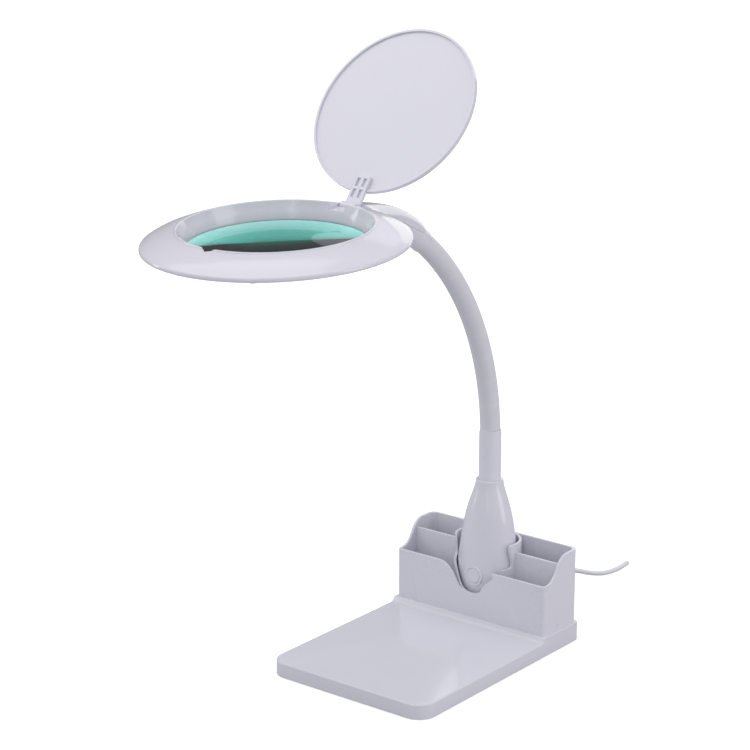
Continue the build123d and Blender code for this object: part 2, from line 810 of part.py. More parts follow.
# centre, direction and half sizes of the neck's sections, from arm to head
neck_root = neck_end.offset(upper_collar_length + 0.2)
neck_sections = [
    (neck_root, 9.7, 9.7),
    (head_section(128.0, -28.8, -0.86, 0.51), 11.6, 10.2),
    (head_section(108.0, -20.4, -0.93, 0.37), 15.5, 10.0),
    (head_section(82.0, -10.3, -0.99, 0.10), 20.0, 6.5),
]


def neck_skin(inset):
    """Sections of the tapering neck between the arm's collar and the head."""
    skin = []
    for number, (plane, half_width, half_depth) in enumerate(neck_sections):
        shift = -1.0 if number == 0 and inset else 0.0
        with BuildSketch(plane.offset(shift)) as section:
            Ellipse(half_width - inset, half_depth - inset)
        skin.append(section.sketch)
    return skin


def other_half(above):
    """Side view of the half of the neck that belongs to the other shell."""
    joint_gap = 0.1 if above else -0.1
    far = 60.0 if not above else -60.0
    with BuildSketch(head_side) as half:
        with BuildLine():
            Polyline(
                (70.0, parting + joint_gap),
                (98.0, parting + joint_gap),
                (170.0, parting - 38.5 + joint_gap),
                (170.0, parting - 38.5 + far),
                (70.0, parting + far),
                close=True,
            )
        make_face()
    return half.sketch


def polar_circles(radius, count, circle_radius):
    """Circles around the head's axis, in the open sketch."""
    with PolarLocations(radius, count):
        Circle(circle_radius)


def finger_notch(height, half_width, reach):
    """The finger notch's outline on one height, pointing away from the lens."""
    edge = -opening_radius + 3.0
    with BuildSketch(head_plane.offset(height)) as notch:
        with BuildLine():
            Polyline(
                (-half_width, edge),
                (0, -opening_radius - reach),
                (half_width, edge),
                close=True,
            )
        make_face()
        tip = notch.vertices().sort_by(Axis.Y)[0]
        fillet(tip, 1.0)
    return notch.sketch


pocket_half_width = 6.9
pocket_ledge = -5.2          # floor under the closed lid's arm
knuckle_front = hinge_y - 3.9
pocket_bottom = hinge_z - 4.4
pocket_front = 55.0
pocket_back = hinge_y + 5.4

with BuildPart() as head_upper_shell:
    with BuildSketch(head_side):
        with BuildLine():
            Polyline((60.0, -12.7), (60.0, -11.2), (opening_radius, -1.0))
            ThreePointArc(
                (opening_radius, -1.0),
                (opening_radius + 1.0, 0.0),
                (opening_radius + 2.0, -1.0),
            )
            ThreePointArc((66.8, -1.0), (72.4, -2.1), (77.9, -4.0))
            ThreePointArc((77.9, -4.0), (83.8, -6.4), (88.9, -9.5))
            ThreePointArc((88.9, -9.5), (89.9, -10.4), (head_radius, head_edge_z))
            ThreePointArc((head_radius, head_edge_z), (89.8, -12.7), (88.6, parting))
            Polyline(
                (88.6, parting),
                (86.8, parting),
                (87.6, -11.6),
                (77.2, -6.6),
                (67.4, -3.4),
                (63.1, -11.2),
                (65.9, -11.2),
                (65.9, -17.0),
                (64.0, -17.0),
                (64.0, -12.7),
                (60.0, -12.7),
            )
        make_face()
    revolve(axis=head_axis)
    # neck, hollow, upper half only
    loft(neck_skin(0))
    loft(neck_skin(head_wall), mode=Mode.SUBTRACT)
    extrude(other_half(True), amount=40, both=True, mode=Mode.SUBTRACT)
    # bosses for the head screws
    with BuildSketch(head_plane.offset(parting)):
        polar_circles(head_screw_radius, head_screw_count, 2.5)
    extrude(amount=6.0)
    with BuildSketch(head_plane.offset(parting)):
        polar_circles(head_screw_radius, head_screw_count, 1.15)
    extrude(amount=4.7, mode=Mode.SUBTRACT)
    # pocket for the lid's hinge
    pocket_shell = pocket_bottom - 1.6
    with BuildSketch(head_side):
        with BuildLine():
            Polyline(
                (63.2, pocket_ledge - 1.6),
                (knuckle_front - 1.6, pocket_ledge - 1.6),
                (knuckle_front - 1.6, pocket_shell),
                (pocket_back + 1.6, pocket_shell),
                (pocket_back + 1.6, -7.4),
                (78.0, -4.8),
                (72.0, -2.9),
                (66.5, -2.2),
                close=True,
            )
        make_face()
    extrude(amount=pocket_half_width + 1.8, both=True)
    with BuildSketch(head_plane.offset(pocket_ledge)):
        with Locations((0, (pocket_back + pocket_front) / 2)):
            Rectangle(2 * pocket_half_width, pocket_back - pocket_front)
    extrude(amount=20, mode=Mode.SUBTRACT)
    with BuildSketch(head_plane.offset(pocket_bottom)):
        with Locations((0, (pocket_back + knuckle_front) / 2)):
            Rectangle(2 * pocket_half_width, pocket_back - knuckle_front)
    extrude(amount=20, mode=Mode.SUBTRACT)
    # slope in the neck's edge, along the arm of the fully open lid
    with BuildSketch(head_side):
        with BuildLine():
            Polyline(
                (pocket_back - 0.5, -6.1),
                (pocket_back + 2.0, -3.4),
                (pocket_back + 2.0, 2.0),
                (pocket_back - 0.5, 2.0),
                close=True,
            )
        make_face()
    extrude(amount=pocket_half_width, both=True, mode=Mode.SUBTRACT)
    pin_plane = Plane(origin=hinge_point, x_dir=head_plane.y_dir, z_dir=(1, 0, 0))
    with BuildSketch(pin_plane):
        Circle(hinge_pin_radius + running_clearance)
    extrude(amount=pocket_half_width + 1.4, both=True, mode=Mode.SUBTRACT)
    # V-shaped finger notch at the front of the opening
    with BuildSketch(head_plane.offset(-7.6)):
        with Locations((0, -opening_radius)):
            Circle(8.4)
    extrude(amount=4.6)
    notch_floor = finger_notch(-5.8, 5.5, 1.2)
    notch_mouth = finger_notch(2.0, 11.6, 7.4)
    loft([notch_floor, notch_mouth], mode=Mode.SUBTRACT)
    # keep the funnel clear where the pocket and scoop were added
    with BuildSketch(head_side):
        with BuildLine():
            Polyline(
                (0, 5.0),
                (opening_radius - 0.02, 5.0),
                (opening_radius - 0.02, -1.0),
                (59.98, -11.2),
                (59.98, -12.7),
                (0, -12.7),
                close=True,
            )
        make_face()
    revolve(axis=head_axis, mode=Mode.SUBTRACT)
head_upper_shell.part.label = "head_upper_shell"
export_step(head_upper_shell.part, "parts/head_upper_shell.step")

web_top = -14.6
web_bottom = -15.8
trough_inner = 67.8
trough_outer = 75.2
lens_ledge = -17.3
with BuildPart() as head_lower_shell:
    with BuildSketch(head_side):
        with BuildLine():
            Polyline(
                (88.5, parting - 0.1),
                (84.2, -14.6),
                (81.0, -15.5),
                (trough_outer + 1.2, -16.9),
                (trough_outer, -16.9),
                (trough_outer, web_bottom),
                (trough_inner, web_bottom),
                (trough_inner, head_bottom),
                (62.0, head_bottom),
                (61.2, head_bottom + 0.8),
                (61.2, lens_ledge),
                (66.2, lens_ledge),
                (66.2, web_top),
                (81.6, web_top),
                (84.4, parting - 0.1),
                close=True,
            )
        make_face()
    revolve(axis=head_axis)
    # neck, hollow, lower half only
    loft(neck_skin(0))
    loft(neck_skin(head_wall), mode=Mode.SUBTRACT)
    extrude(other_half(False), amount=40, both=True, mode=Mode.SUBTRACT)
    # windows in the web, one under each group of LEDs
    with BuildSketch(head_plane.offset(web_bottom - 0.5)):
        with PolarLocations(71.6, 12, start_angle=15):
            Rectangle(6.4, 26.0)
    extrude(amount=2.2, mode=Mode.SUBTRACT)
    # screw towers with recessed heads
    tower_bottom = head_screw_seat - 1.0
    with BuildSketch(head_plane.offset(tower_bottom)):
        polar_circles(head_screw_radius, head_screw_count, 2.9)
    extrude(amount=parting - 0.1 - tower_bottom)
    with BuildSketch(head_plane.offset(head_screw_seat - 6.0)):
        polar_circles(head_screw_radius, head_screw_count, 2.4)
    extrude(amount=6.0, mode=Mode.SUBTRACT)
    with BuildSketch(head_plane.offset(head_screw_seat - 1.0)):
        polar_circles(head_screw_radius, head_screw_count, 1.4)
    extrude(amount=4.0, mode=Mode.SUBTRACT)
    # bore for the screw that locks the arm's ferrule
    lock_origin = neck_end.offset(22.0).origin
    lock_plane = Plane(origin=lock_origin, x_dir=(1, 0, 0), z_dir=-neck_end.y_dir)
    with BuildSketch(lock_plane):
        Circle(1.6)
    extrude(amount=14, mode=Mode.SUBTRACT)
head_lower_shell.part.label = "head_lower_shell"
export_step(head_lower_shell.part, "parts/head_lower_shell.step")

with BuildPart() as neck_lock_screw:
    with BuildSketch(lock_plane.offset(ferrule_radius + 0.1)):
        Circle(1.5)
    extrude(amount=6.2)
    with BuildSketch(lock_plane.offset(ferrule_radius + 6.2)):
        Circle(2.6)
    extrude(amount=1.3)
    with BuildSketch(lock_plane.offset(ferrule_radius + 7.5)):
        Rectangle(3.2, 0.5)
        Rectangle(0.5, 3.2)
    extrude(amount=-0.7, mode=Mode.SUBTRACT)
neck_lock_screw.part.label = "neck_lock_screw"
export_step(neck_lock_screw.part, "parts/neck_lock_screw.step")

with BuildPart() as head_screws:
    with BuildSketch(head_plane.offset(head_screw_seat - 0.02)):
        polar_circles(head_screw_radius, head_screw_count, 2.3)
    extrude(amount=-0.9)
    with BuildSketch(head_plane.offset(head_screw_seat - 0.02)):
        polar_circles(head_screw_radius, head_screw_count, 1.1)
    extrude(amount=5.6)
    with BuildSketch(head_plane.offset(head_screw_seat - 1.0)):
        with PolarLocations(head_screw_radius, head_screw_count):
            Rectangle(2.8, 0.5)
            Rectangle(0.5, 2.8)
    extrude(amount=0.5, mode=Mode.SUBTRACT)
head_screws.part.label = "head_screws"
export_step(head_screws.part, "parts/head_screws.step")


# ===========================================================================
# Lens and light
# ===========================================================================

lens_sag = lens_curvature - math.sqrt(lens_curvature**2 - lens_radius**2)
lens_edge_bottom = lens_edge_top - lens_edge
with BuildPart() as magnifier_lens:
    with BuildSketch(head_side):
        with BuildLine():
            Line((0, lens_edge_bottom - lens_sag), (0, lens_edge_top + lens_sag))
            RadiusArc(
                (0, lens_edge_top + lens_sag), (lens_radius, lens_edge_top), lens_curvature
            )
            Line((lens_radius, lens_edge_top), (lens_radius, lens_edge_bottom))
            RadiusArc(
                (lens_radius, lens_edge_bottom),
                (0, lens_edge_bottom - lens_sag),
                lens_curvature,
            )
        make_face()
    revolve(axis=head_axis)
magnifier_lens.part.label = "magnifier_lens"
export_step(magnifier_lens.part, "parts/magnifier_lens.step")

with BuildPart() as lens_retainer:
    with BuildSketch(head_side):
        with BuildLine():
            Polyline(
                (60.6, -16.5),
                (63.9, -15.65),
                (63.9, -17.2),
                (60.6, -17.2),
                close=True,
            )
        make_face()
    revolve(axis=head_axis)
lens_retainer.part.label = "lens_retainer"
export_step(lens_retainer.part, "parts/lens_retainer.step")

board_bottom = -13.3
with BuildPart() as led_board:
    with BuildSketch(head_plane.offset(board_bottom)):
        Circle(76.6)
        Circle(66.8, mode=Mode.SUBTRACT)
    extrude(amount=1.4)
led_board.part.label = "led_board"
export_step(led_board.part, "parts/led_board.step")

with BuildPart() as leds:
    with BuildSketch(head_plane.offset(board_bottom - 0.02)):
        with PolarLocations(71.6, led_count, start_angle=5):
            Rectangle(2.8, 3.5)
    extrude(amount=-0.8)
leds.part.label = "leds"
export_step(leds.part, "parts/leds.step")

with BuildPart() as light_diffuser:
    with BuildSketch(head_plane.offset(web_bottom - 0.05)):
        Circle(trough_outer - 0.1)
        Circle(trough_inner + 0.1, mode=Mode.SUBTRACT)
    extrude(amount=-1.1)
    fillet(light_diffuser.edges().group_by(head_axis)[0], 0.4)
light_diffuser.part.label = "light_diffuser"
export_step(light_diffuser.part, "parts/light_diffuser.step")


# ===========================================================================
# Lid and its hinge
# ===========================================================================

lid_centre_plane = Plane(
    origin=lid_plane.from_local_coords(Vector(0, hinge_y, 0)),
    x_dir=lid_plane.x_dir,
    z_dir=lid_plane.z_dir,
)
arm_width = 12.6
arm_thickness = 2.6
lid_underside = -(lid_face - lid_skin)       # inner face, measured along z
with BuildPart() as lid_panel:
    with BuildSketch(lid_centre_plane.offset(-lid_face)):
        Circle(lid_radius)
    extrude(amount=lid_skin)
    with BuildSketch(lid_centre_plane.offset(-lid_face + lid_skin)):
        Circle(lid_radius)
        Circle(lid_radius - 1.6, mode=Mode.SUBTRACT)
        with Locations((0, -lid_radius)):
            Rectangle(arm_width + 1.0, 8.0, mode=Mode.SUBTRACT)
    extrude(amount=lid_rim_depth - lid_skin)
lid_panel.part.label = "lid_panel"
export_step(lid_panel.part, "parts/lid_panel.step")

with BuildPart() as lid_hinge_arm:
    # flat bar under the lid, from the knuckle to its inner face
    with BuildSketch(lid_plane.offset(lid_underside + 0.03)):
        with Locations((0, 12.4)):
            Rectangle(arm_width, 24.8)
    extrude(amount=arm_thickness)
    knuckle_plane = Plane(origin=hinge_point, x_dir=lid_plane.y_dir, z_dir=(1, 0, 0))
    with BuildSketch(knuckle_plane):
        Circle(3.3)
    extrude(amount=arm_width / 2, both=True)
    # two rows of slots that lighten the bar
    with BuildSketch(lid_plane.offset(lid_underside + arm_thickness + 1)):
        with Locations((0, 15.4)):
            with GridLocations(5.4, 8.4, 2, 2):
                Rectangle(2.8, 6.2)
    extrude(amount=-arm_thickness, mode=Mode.SUBTRACT)
    with BuildSketch(knuckle_plane):
        Circle(hinge_pin_radius + running_clearance)
    extrude(amount=arm_width, both=True, mode=Mode.SUBTRACT)
lid_hinge_arm.part.label = "lid_hinge_arm"
export_step(lid_hinge_arm.part, "parts/lid_hinge_arm.step")

with BuildPart() as lid_hinge_pin:
    with BuildSketch(pin_plane):
        Circle(hinge_pin_radius)
    extrude(amount=pocket_half_width + 1.3, both=True)
lid_hinge_pin.part.label = "lid_hinge_pin"
export_step(lid_hinge_pin.part, "parts/lid_hinge_pin.step")
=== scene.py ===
import json
import math

import bmesh
import bpy
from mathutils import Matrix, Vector


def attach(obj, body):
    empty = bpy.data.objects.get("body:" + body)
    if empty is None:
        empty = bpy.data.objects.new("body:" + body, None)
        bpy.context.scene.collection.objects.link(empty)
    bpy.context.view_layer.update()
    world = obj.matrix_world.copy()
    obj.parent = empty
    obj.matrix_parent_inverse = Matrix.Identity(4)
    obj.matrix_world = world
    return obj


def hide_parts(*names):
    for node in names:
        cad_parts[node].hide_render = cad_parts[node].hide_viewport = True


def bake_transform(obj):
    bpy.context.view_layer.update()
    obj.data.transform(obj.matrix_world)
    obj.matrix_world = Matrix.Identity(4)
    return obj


# ---------------------------------------------------------------------------
# White desk magnifying lamp: smooth pieces, materials, floor, light and camera
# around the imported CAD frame. Metres; +Z up, -Y towards the user.
# ---------------------------------------------------------------------------

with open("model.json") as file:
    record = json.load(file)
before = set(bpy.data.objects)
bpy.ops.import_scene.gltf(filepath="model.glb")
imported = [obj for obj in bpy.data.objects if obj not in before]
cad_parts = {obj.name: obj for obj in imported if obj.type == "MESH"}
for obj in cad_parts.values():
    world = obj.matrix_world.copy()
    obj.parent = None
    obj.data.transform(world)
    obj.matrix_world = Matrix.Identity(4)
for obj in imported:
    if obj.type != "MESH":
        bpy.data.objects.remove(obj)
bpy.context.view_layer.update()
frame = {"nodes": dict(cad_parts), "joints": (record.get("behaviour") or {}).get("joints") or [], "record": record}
nodes = frame["nodes"]
joints = {joint["name"]: joint for joint in frame["joints"]}

# --- sizes -------------------------------------------------------------------
ARM_Y = 0.0784               # axis of the collar at the foot
BEND_RADIUS = 0.209          # gooseneck's centre line at rest
BEND_START_Z = 0.150
FLEX_START = 2.6             # degrees along the bend where the sleeve begins
FLEX_END = 54.2              # degrees along the bend where the sleeve ends
HINGES = 9
# These two stretches are listed apart: turned from the near link, rounding tore them when all the hinges were at
# their upper limit. Below they are baked in place like the rest.
FAR_LINK_FIRST = ("neck_bend_3", "neck_bend_5")
SLEEVE_RADIUS = 0.0077
SLEEVE_BORE = 0.0061
HEAD_CENTRE = Vector((0.0, -0.1677, 0.3598))
HEAD_PITCH = math.radians(3.3)
LENS_RADIUS = 0.0635
LENS_EDGE = 0.0022
LENS_EDGE_TOP = -0.0134
LENS_CURVATURE = 0.346
LENS_BEVEL = 0.0003

# --- mesh fineness -------------------------------------------------------------
SLEEVE_STEPS = 14            # rings along each stretch of the sleeve
SLEEVE_AROUND = 64
LENS_ROWS = 40               # rings from the lens's centre to its edge
LENS_AROUND = 180
WELD_DISTANCE = 0.000004
ROUNDED_ABOVE = math.radians(32.0)     # edges sharper than this get a rounding
CREASED_ABOVE = math.radians(30.0)     # edges sharper than this stay a crease

# --- camera, at the height and side of a person standing in front right ------
CAMERA_PLACE = Vector((0.9959, -1.3257, 0.7005))
CAMERA_AZIMUTH = math.radians(38.25)
CAMERA_ELEVATION = math.radians(16.19)
CAMERA_LENS = 114.5


# ===========================================================================
# Materials
# ===========================================================================

def new_material(name):
    """A node material, and the parts of it that every recipe below uses."""
    material = bpy.data.materials.new(name)
    material.use_nodes = True
    tree = material.node_tree
    shader = tree.nodes["Principled BSDF"]
    return material, tree, shader


def noise(tree, scale, detail=3.0, stretch=(1, 1, 1)):
    """A noise texture in the piece's own coordinates; returns its value."""
    place = tree.nodes.new("ShaderNodeTexCoord")
    mapping = tree.nodes.new("ShaderNodeMapping")
    mapping.inputs["Scale"].default_value = stretch
    texture = tree.nodes.new("ShaderNodeTexNoise")
    texture.inputs["Scale"].default_value = scale
    texture.inputs["Detail"].default_value = detail
    tree.links.new(place.outputs["Object"], mapping.inputs["Vector"])
    tree.links.new(mapping.outputs["Vector"], texture.inputs["Vector"])
    return texture.outputs["Fac"]


def spread(tree, value, low, high):
    """Map a noise value, which mostly lies between 0.3 and 0.7, to a range."""
    mapped = tree.nodes.new("ShaderNodeMapRange")
    mapped.inputs["From Min"].default_value = 0.3
    mapped.inputs["From Max"].default_value = 0.7
    mapped.inputs["To Min"].default_value = low
    mapped.inputs["To Max"].default_value = high
    tree.links.new(value, mapped.inputs["Value"])
    return mapped.outputs["Result"]


def two_tone(tree, factor, first, second):
    """Mix two colours by a factor."""
    mix = tree.nodes.new("ShaderNodeMix")
    mix.data_type = "RGBA"
    mix.inputs["A"].default_value = (*first, 1.0)
    mix.inputs["B"].default_value = (*second, 1.0)
    tree.links.new(factor, mix.inputs["Factor"])
    return mix.outputs["Result"]


def edge_share(tree, start, end):
    """0 on flat surfaces, rising to 1 on the sharpest outer edges."""
    geometry = tree.nodes.new("ShaderNodeNewGeometry")
    mapped = tree.nodes.new("ShaderNodeMapRange")
    mapped.inputs["From Min"].default_value = start
    mapped.inputs["From Max"].default_value = end
    tree.links.new(geometry.outputs["Pointiness"], mapped.inputs["Value"])
    return mapped.outputs["Result"]


def bump(tree, shader, value, height):
    """Small surface relief from a texture value; height in metres."""
    node = tree.nodes.new("ShaderNodeBump")
    node.inputs["Strength"].default_value = 1.0
    node.inputs["Distance"].default_value = height
    tree.links.new(value, node.inputs["Height"])
    tree.links.new(node.outputs["Normal"], shader.inputs["Normal"])


def moulded(name, colour, rough, grain_scale, grain_height,
            tone=0.012, coat=0.0, edge_highlight=0.035):
    """Moulded plastic: cloudy tone, uneven gloss, fine grain, and a painted highlight that makes outer edges
    paler.
    """
    material, tree, shader = new_material(name)
    darker = tuple(c * (1 - tone) for c in colour)
    lighter = tuple(min(c * (1 + tone), 1.0) for c in colour)
    cloud = spread(tree, noise(tree, 9.0), 0.0, 1.0)
    body = two_tone(tree, cloud, darker, lighter)
    # Painted highlight: outer edges are mixed towards a paler colour, standing in for light catching the rounded
    # rims.
    edge_highlight_colour = tuple(min(c * (1 + edge_highlight), 1.0) for c in colour)
    edge_highlight_mix = tree.nodes.new("ShaderNodeMix")
    edge_highlight_mix.data_type = "RGBA"
    edge_highlight_mix.inputs["B"].default_value = (*edge_highlight_colour, 1.0)
    tree.links.new(body, edge_highlight_mix.inputs["A"])
    tree.links.new(edge_share(tree, 0.52, 0.62), edge_highlight_mix.inputs["Factor"])
    tree.links.new(edge_highlight_mix.outputs["Result"], shader.inputs["Base Color"])
    gloss = spread(tree, noise(tree, 30.0, 4.0), rough * 0.93, rough * 1.07)
    tree.links.new(gloss, shader.inputs["Roughness"])
    shader.inputs["IOR"].default_value = 1.49
    shader.inputs["Coat Weight"].default_value = coat
    shader.inputs["Coat Roughness"].default_value = 0.06
    shader.inputs["Subsurface Weight"].default_value = 0.05
    shader.inputs["Subsurface Radius"].default_value = (0.004, 0.004, 0.005)
    bump(tree, shader, noise(tree, grain_scale, 2.0), grain_height)
    return material


def metal(name, colour, rough, stretch):
    """Plated or brushed steel with fine lines along one direction."""
    material, tree, shader = new_material(name)
    shader.inputs["Metallic"].default_value = 1.0
    darker = tuple(c * 0.8 for c in colour)
    tone = spread(tree, noise(tree, 60.0, 5.0), 0.0, 1.0)
    tree.links.new(two_tone(tree, tone, darker, colour), shader.inputs["Base Color"])
    lines = noise(tree, 400.0, 3.0, stretch)
    tree.links.new(spread(tree, lines, rough * 0.7, rough * 1.4), shader.inputs["Roughness"])
    bump(tree, shader, lines, 0.00001)
    return material


def lens_glass(name):
    """Polished crown glass, faintly green in depth, with a few dust specks; its absorption is strong enough to
    paint in shade as well.
    """
    material, tree, shader = new_material(name)
    shader.inputs["Base Color"].default_value = (0.62, 1.0, 0.94, 1.0)
    shader.inputs["Transmission Weight"].default_value = 1.0
    shader.inputs["IOR"].default_value = 1.523
    shader.inputs["Specular IOR Level"].default_value = 0.2
    dust = spread(tree, noise(tree, 320.0, 6.0), 0.0, 0.035)
    tree.links.new(dust, shader.inputs["Roughness"])
    bump(tree, shader, noise(tree, 6.0, 1.0), 0.00002)
    # The green tint is the glass's own; the high density also paints in shade, darkening the lens as the shadowed
    # inner wall of the head seen through it would.
    green_tint_and_painted_shade = tree.nodes.new("ShaderNodeVolumeAbsorption")
    green_tint_and_painted_shade.inputs["Color"].default_value = (0.0, 0.58, 0.53, 1.0)
    green_tint_and_painted_shade.inputs["Density"].default_value = 135.0
    tree.links.new(green_tint_and_painted_shade.outputs["Volume"], tree.nodes["Material Output"].inputs["Volume"])
    return material


WHITE = (0.775, 0.765, 0.83)
finishes = {
    "white_shell": moulded("white_shell", WHITE, 0.2, 420.0, 0.00001, coat=0.5),
    "white_box": moulded("white_box", WHITE, 0.28, 700.0, 0.00002, coat=0.15, edge_highlight=0.01),
    "white_sleeve": moulded("white_sleeve", (0.76, 0.75, 0.79), 0.55, 900.0, 0.00005),
    "inner_plastic": moulded("inner_plastic", (0.55, 0.55, 0.57), 0.45, 500.0, 0.00004),
    "button_white": moulded("button_white", WHITE, 0.38, 600.0, 0.00003),
    "diffuser": moulded("diffuser", (0.86, 0.87, 0.9), 0.35, 800.0, 0.00004),
    "led_yellow": moulded("led_yellow", (0.85, 0.66, 0.16), 0.4, 1500.0, 0.00003, tone=0.12),
    "lens_glass": lens_glass("lens_glass"),
    "circuit_board": moulded("circuit_board", (0.02, 0.14, 0.05), 0.35, 300.0, 0.00005, tone=0.2),
    "led_board_white": moulded("led_board_white", (0.82, 0.82, 0.82), 0.5, 400.0, 0.00003),
    "components": moulded("components", (0.03, 0.03, 0.035), 0.45, 500.0, 0.00005, tone=0.3),
    "steel": metal("steel", (0.6, 0.6, 0.62), 0.3, (1, 1, 12)),
    "ballast_steel": metal("ballast_steel", (0.3, 0.3, 0.32), 0.5, (12, 1, 1)),
    "foot_rubber": moulded("foot_rubber", (0.02, 0.02, 0.022), 0.75, 900.0, 0.00012, tone=0.3),
    "cord_white": moulded("cord_white", (0.8, 0.8, 0.83), 0.42, 900.0, 0.00004),
}
slot_of = {part["node"]: part["material_slot"] for part in frame["record"]["subparts"]}


# ===========================================================================
# Pieces
# ===========================================================================

def add_piece(name, mesh_builder, slot):
    """Link a finished bmesh as a smooth-shaded piece with its slot's finish."""
    mesh = bpy.data.meshes.new(name)
    bmesh.ops.recalc_face_normals(mesh_builder, faces=mesh_builder.faces)
    mesh_builder.to_mesh(mesh)
    mesh_builder.free()
    mesh.shade_smooth()
    piece = bpy.data.objects.new(name, mesh)
    bpy.context.scene.collection.objects.link(piece)
    piece.data.materials.append(finishes[slot])
    return piece


def ring_surface(rings, closed_tube):
    """A bmesh through rings of points; closed_tube joins the last to the first."""
    builder = bmesh.new()
    rows = [[builder.verts.new(p) for p in ring] for ring in rings]
    pairs = list(zip(rows, rows[1:]))
    if closed_tube:
        pairs.append((rows[-1], rows[0]))
    for low, high in pairs:
        for i in range(len(low)):
            j = (i + 1) % len(low)
            builder.faces.new((low[i], low[j], high[j], high[i]))
    return builder


def neck_frame(angle):
    """Place on the gooseneck at an angle: x across, y outwards, z along it."""
    turn = math.radians(angle)
    place = Vector((
        0.0,
        ARM_Y - BEND_RADIUS + BEND_RADIUS * math.cos(turn),
        BEND_START_Z + BEND_RADIUS * math.sin(turn),
    ))
    outwards = Vector((0.0, math.cos(turn), math.sin(turn)))
    return place, outwards


def neck_ring(angle, radius):
    """A circle of points across the gooseneck at an angle along its bend."""
    place, outwards = neck_frame(angle)
    ring = []
    for i in range(SLEEVE_AROUND):
        around = 2 * math.pi * i / SLEEVE_AROUND
        across = Vector((radius * math.cos(around), 0.0, 0.0))
        ring.append(place + across + outwards * radius * math.sin(around))
    return ring


def sleeve_piece(name, start, end):
    """A stretch of the sleeve, as a closed tube wall between two angles."""
    span = end - start
    angles = [start + span * i / SLEEVE_STEPS for i in range(SLEEVE_STEPS + 1)]
    outer = [neck_ring(angle, SLEEVE_RADIUS) for angle in angles]
    inner = [neck_ring(angle, SLEEVE_BORE) for angle in reversed(angles)]
    piece = add_piece(name, ring_surface(outer + inner, True), "white_sleeve")
    for angle in (start, end):
        mark_ring_sharp(piece, neck_frame(angle)[0], angle)
    return piece


def mark_ring_sharp(piece, place, angle):
    """Keep the shading of a tube's end wall from rolling over its rims."""
    turn = math.radians(angle)
    along = Vector((0.0, -math.sin(turn), math.cos(turn)))
    on_end = [abs((v.co - place).dot(along)) < 1e-6 for v in piece.data.vertices]
    for edge in piece.data.edges:
        if all(on_end[v] for v in edge.vertices):
            edge.use_edge_sharp = True


def build_sleeve():
    """One piece across each hinge of the gooseneck, baked in place at rest."""
    step = (FLEX_END - FLEX_START) / HINGES
    order = []
    for joint in frame["joints"]:
        if joint["name"].startswith("neck_"):
            order.append(joint)
    for i, joint in enumerate(order):
        hinge = FLEX_START + step * (i + 0.5)
        start = FLEX_START if i == 0 else hinge - step / 2
        end = FLEX_END if i == HINGES - 1 else hinge + step / 2
        piece = sleeve_piece(f"neck_skin_{i + 1}", start, end)
        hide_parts(f"neck_sleeve_{i}")
        if i == HINGES - 1:
            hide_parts(f"neck_sleeve_{HINGES}")
        if joint["name"] in FAR_LINK_FIRST:
            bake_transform(piece)
        else:
            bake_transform(piece)


def head_point(x, y, z):
    """A point given in the head's own tilted plane."""
    y_axis = Vector((0.0, math.cos(HEAD_PITCH), math.sin(HEAD_PITCH)))
    z_axis = Vector((0.0, -math.sin(HEAD_PITCH), math.cos(HEAD_PITCH)))
    return HEAD_CENTRE + Vector((x, 0.0, 0.0)) + y_axis * y + z_axis * z


def dome(r):
    """Height of the lens's curved face over its edge, at a radius."""
    full = math.sqrt(LENS_CURVATURE**2 - LENS_RADIUS**2)
    return math.sqrt(LENS_CURVATURE**2 - r * r) - full


def build_lens():
    """The biconvex glass, with a ground bevel at its edge."""
    edge_bottom = LENS_EDGE_TOP - LENS_EDGE
    rim = LENS_RADIUS - LENS_BEVEL
    radii = [rim * (i + 1) / LENS_ROWS for i in range(LENS_ROWS)]
    profile = [(r, LENS_EDGE_TOP + dome(r)) for r in radii]
    profile.append((LENS_RADIUS, LENS_EDGE_TOP - LENS_BEVEL))
    profile.append((LENS_RADIUS, edge_bottom + LENS_BEVEL))
    for r in reversed(radii):
        profile.append((r, edge_bottom - dome(r)))
    turns = [2 * math.pi * i / LENS_AROUND for i in range(LENS_AROUND)]
    rings = []
    for r, z in profile:
        rings.append([head_point(r * math.cos(t), r * math.sin(t), z) for t in turns])
    builder = ring_surface(rings, False)
    last_ring = (len(profile) - 1) * LENS_AROUND
    for ring_start, height in (
        (0, LENS_EDGE_TOP + dome(0.0)),
        (last_ring, edge_bottom - dome(0.0)),
    ):
        centre = builder.verts.new(head_point(0.0, 0.0, height))
        builder.verts.ensure_lookup_table()
        for i in range(LENS_AROUND):
            first = builder.verts[ring_start + i]
            second = builder.verts[ring_start + (i + 1) % LENS_AROUND]
            builder.faces.new((first, second, centre))
    piece = add_piece("lens", builder, "lens_glass")
    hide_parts("magnifier_lens")
    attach(piece, "head")


def skin(node, width):
    """Join a CAD node's faces into one skin, rounding its edges by a width."""
    piece = nodes[node]
    piece.data.shade_smooth()
    weld = piece.modifiers.new("weld", "WELD")
    weld.merge_threshold = WELD_DISTANCE
    if width > 0:
        bevel = piece.modifiers.new("round_edges", "BEVEL")
        bevel.width = width
        bevel.segments = 3
        bevel.limit_method = "ANGLE"
        bevel.angle_limit = ROUNDED_ABOVE
        piece.modifiers.new("normals", "WEIGHTED_NORMAL")
    else:
        split = piece.modifiers.new("crease", "EDGE_SPLIT")
        split.split_angle = CREASED_ABOVE


EDGE_ROUNDING = {
    "organiser_box": 0.0004,
    "lid_panel": 0.0004,
    "lid_hinge_arm": 0.0004,
}


def smooth_nodes():
    """Smooth every hard CAD node that stays visible."""
    for name in nodes:
        skin(name, EDGE_ROUNDING.get(name, 0.0))


def paint_nodes():
    """Give every CAD node the finish of its slot."""
    for name, piece in nodes.items():
        piece.data.materials.clear()
        piece.data.materials.append(finishes[slot_of[name]])


paint_nodes()
smooth_nodes()
build_sleeve()
build_lens()


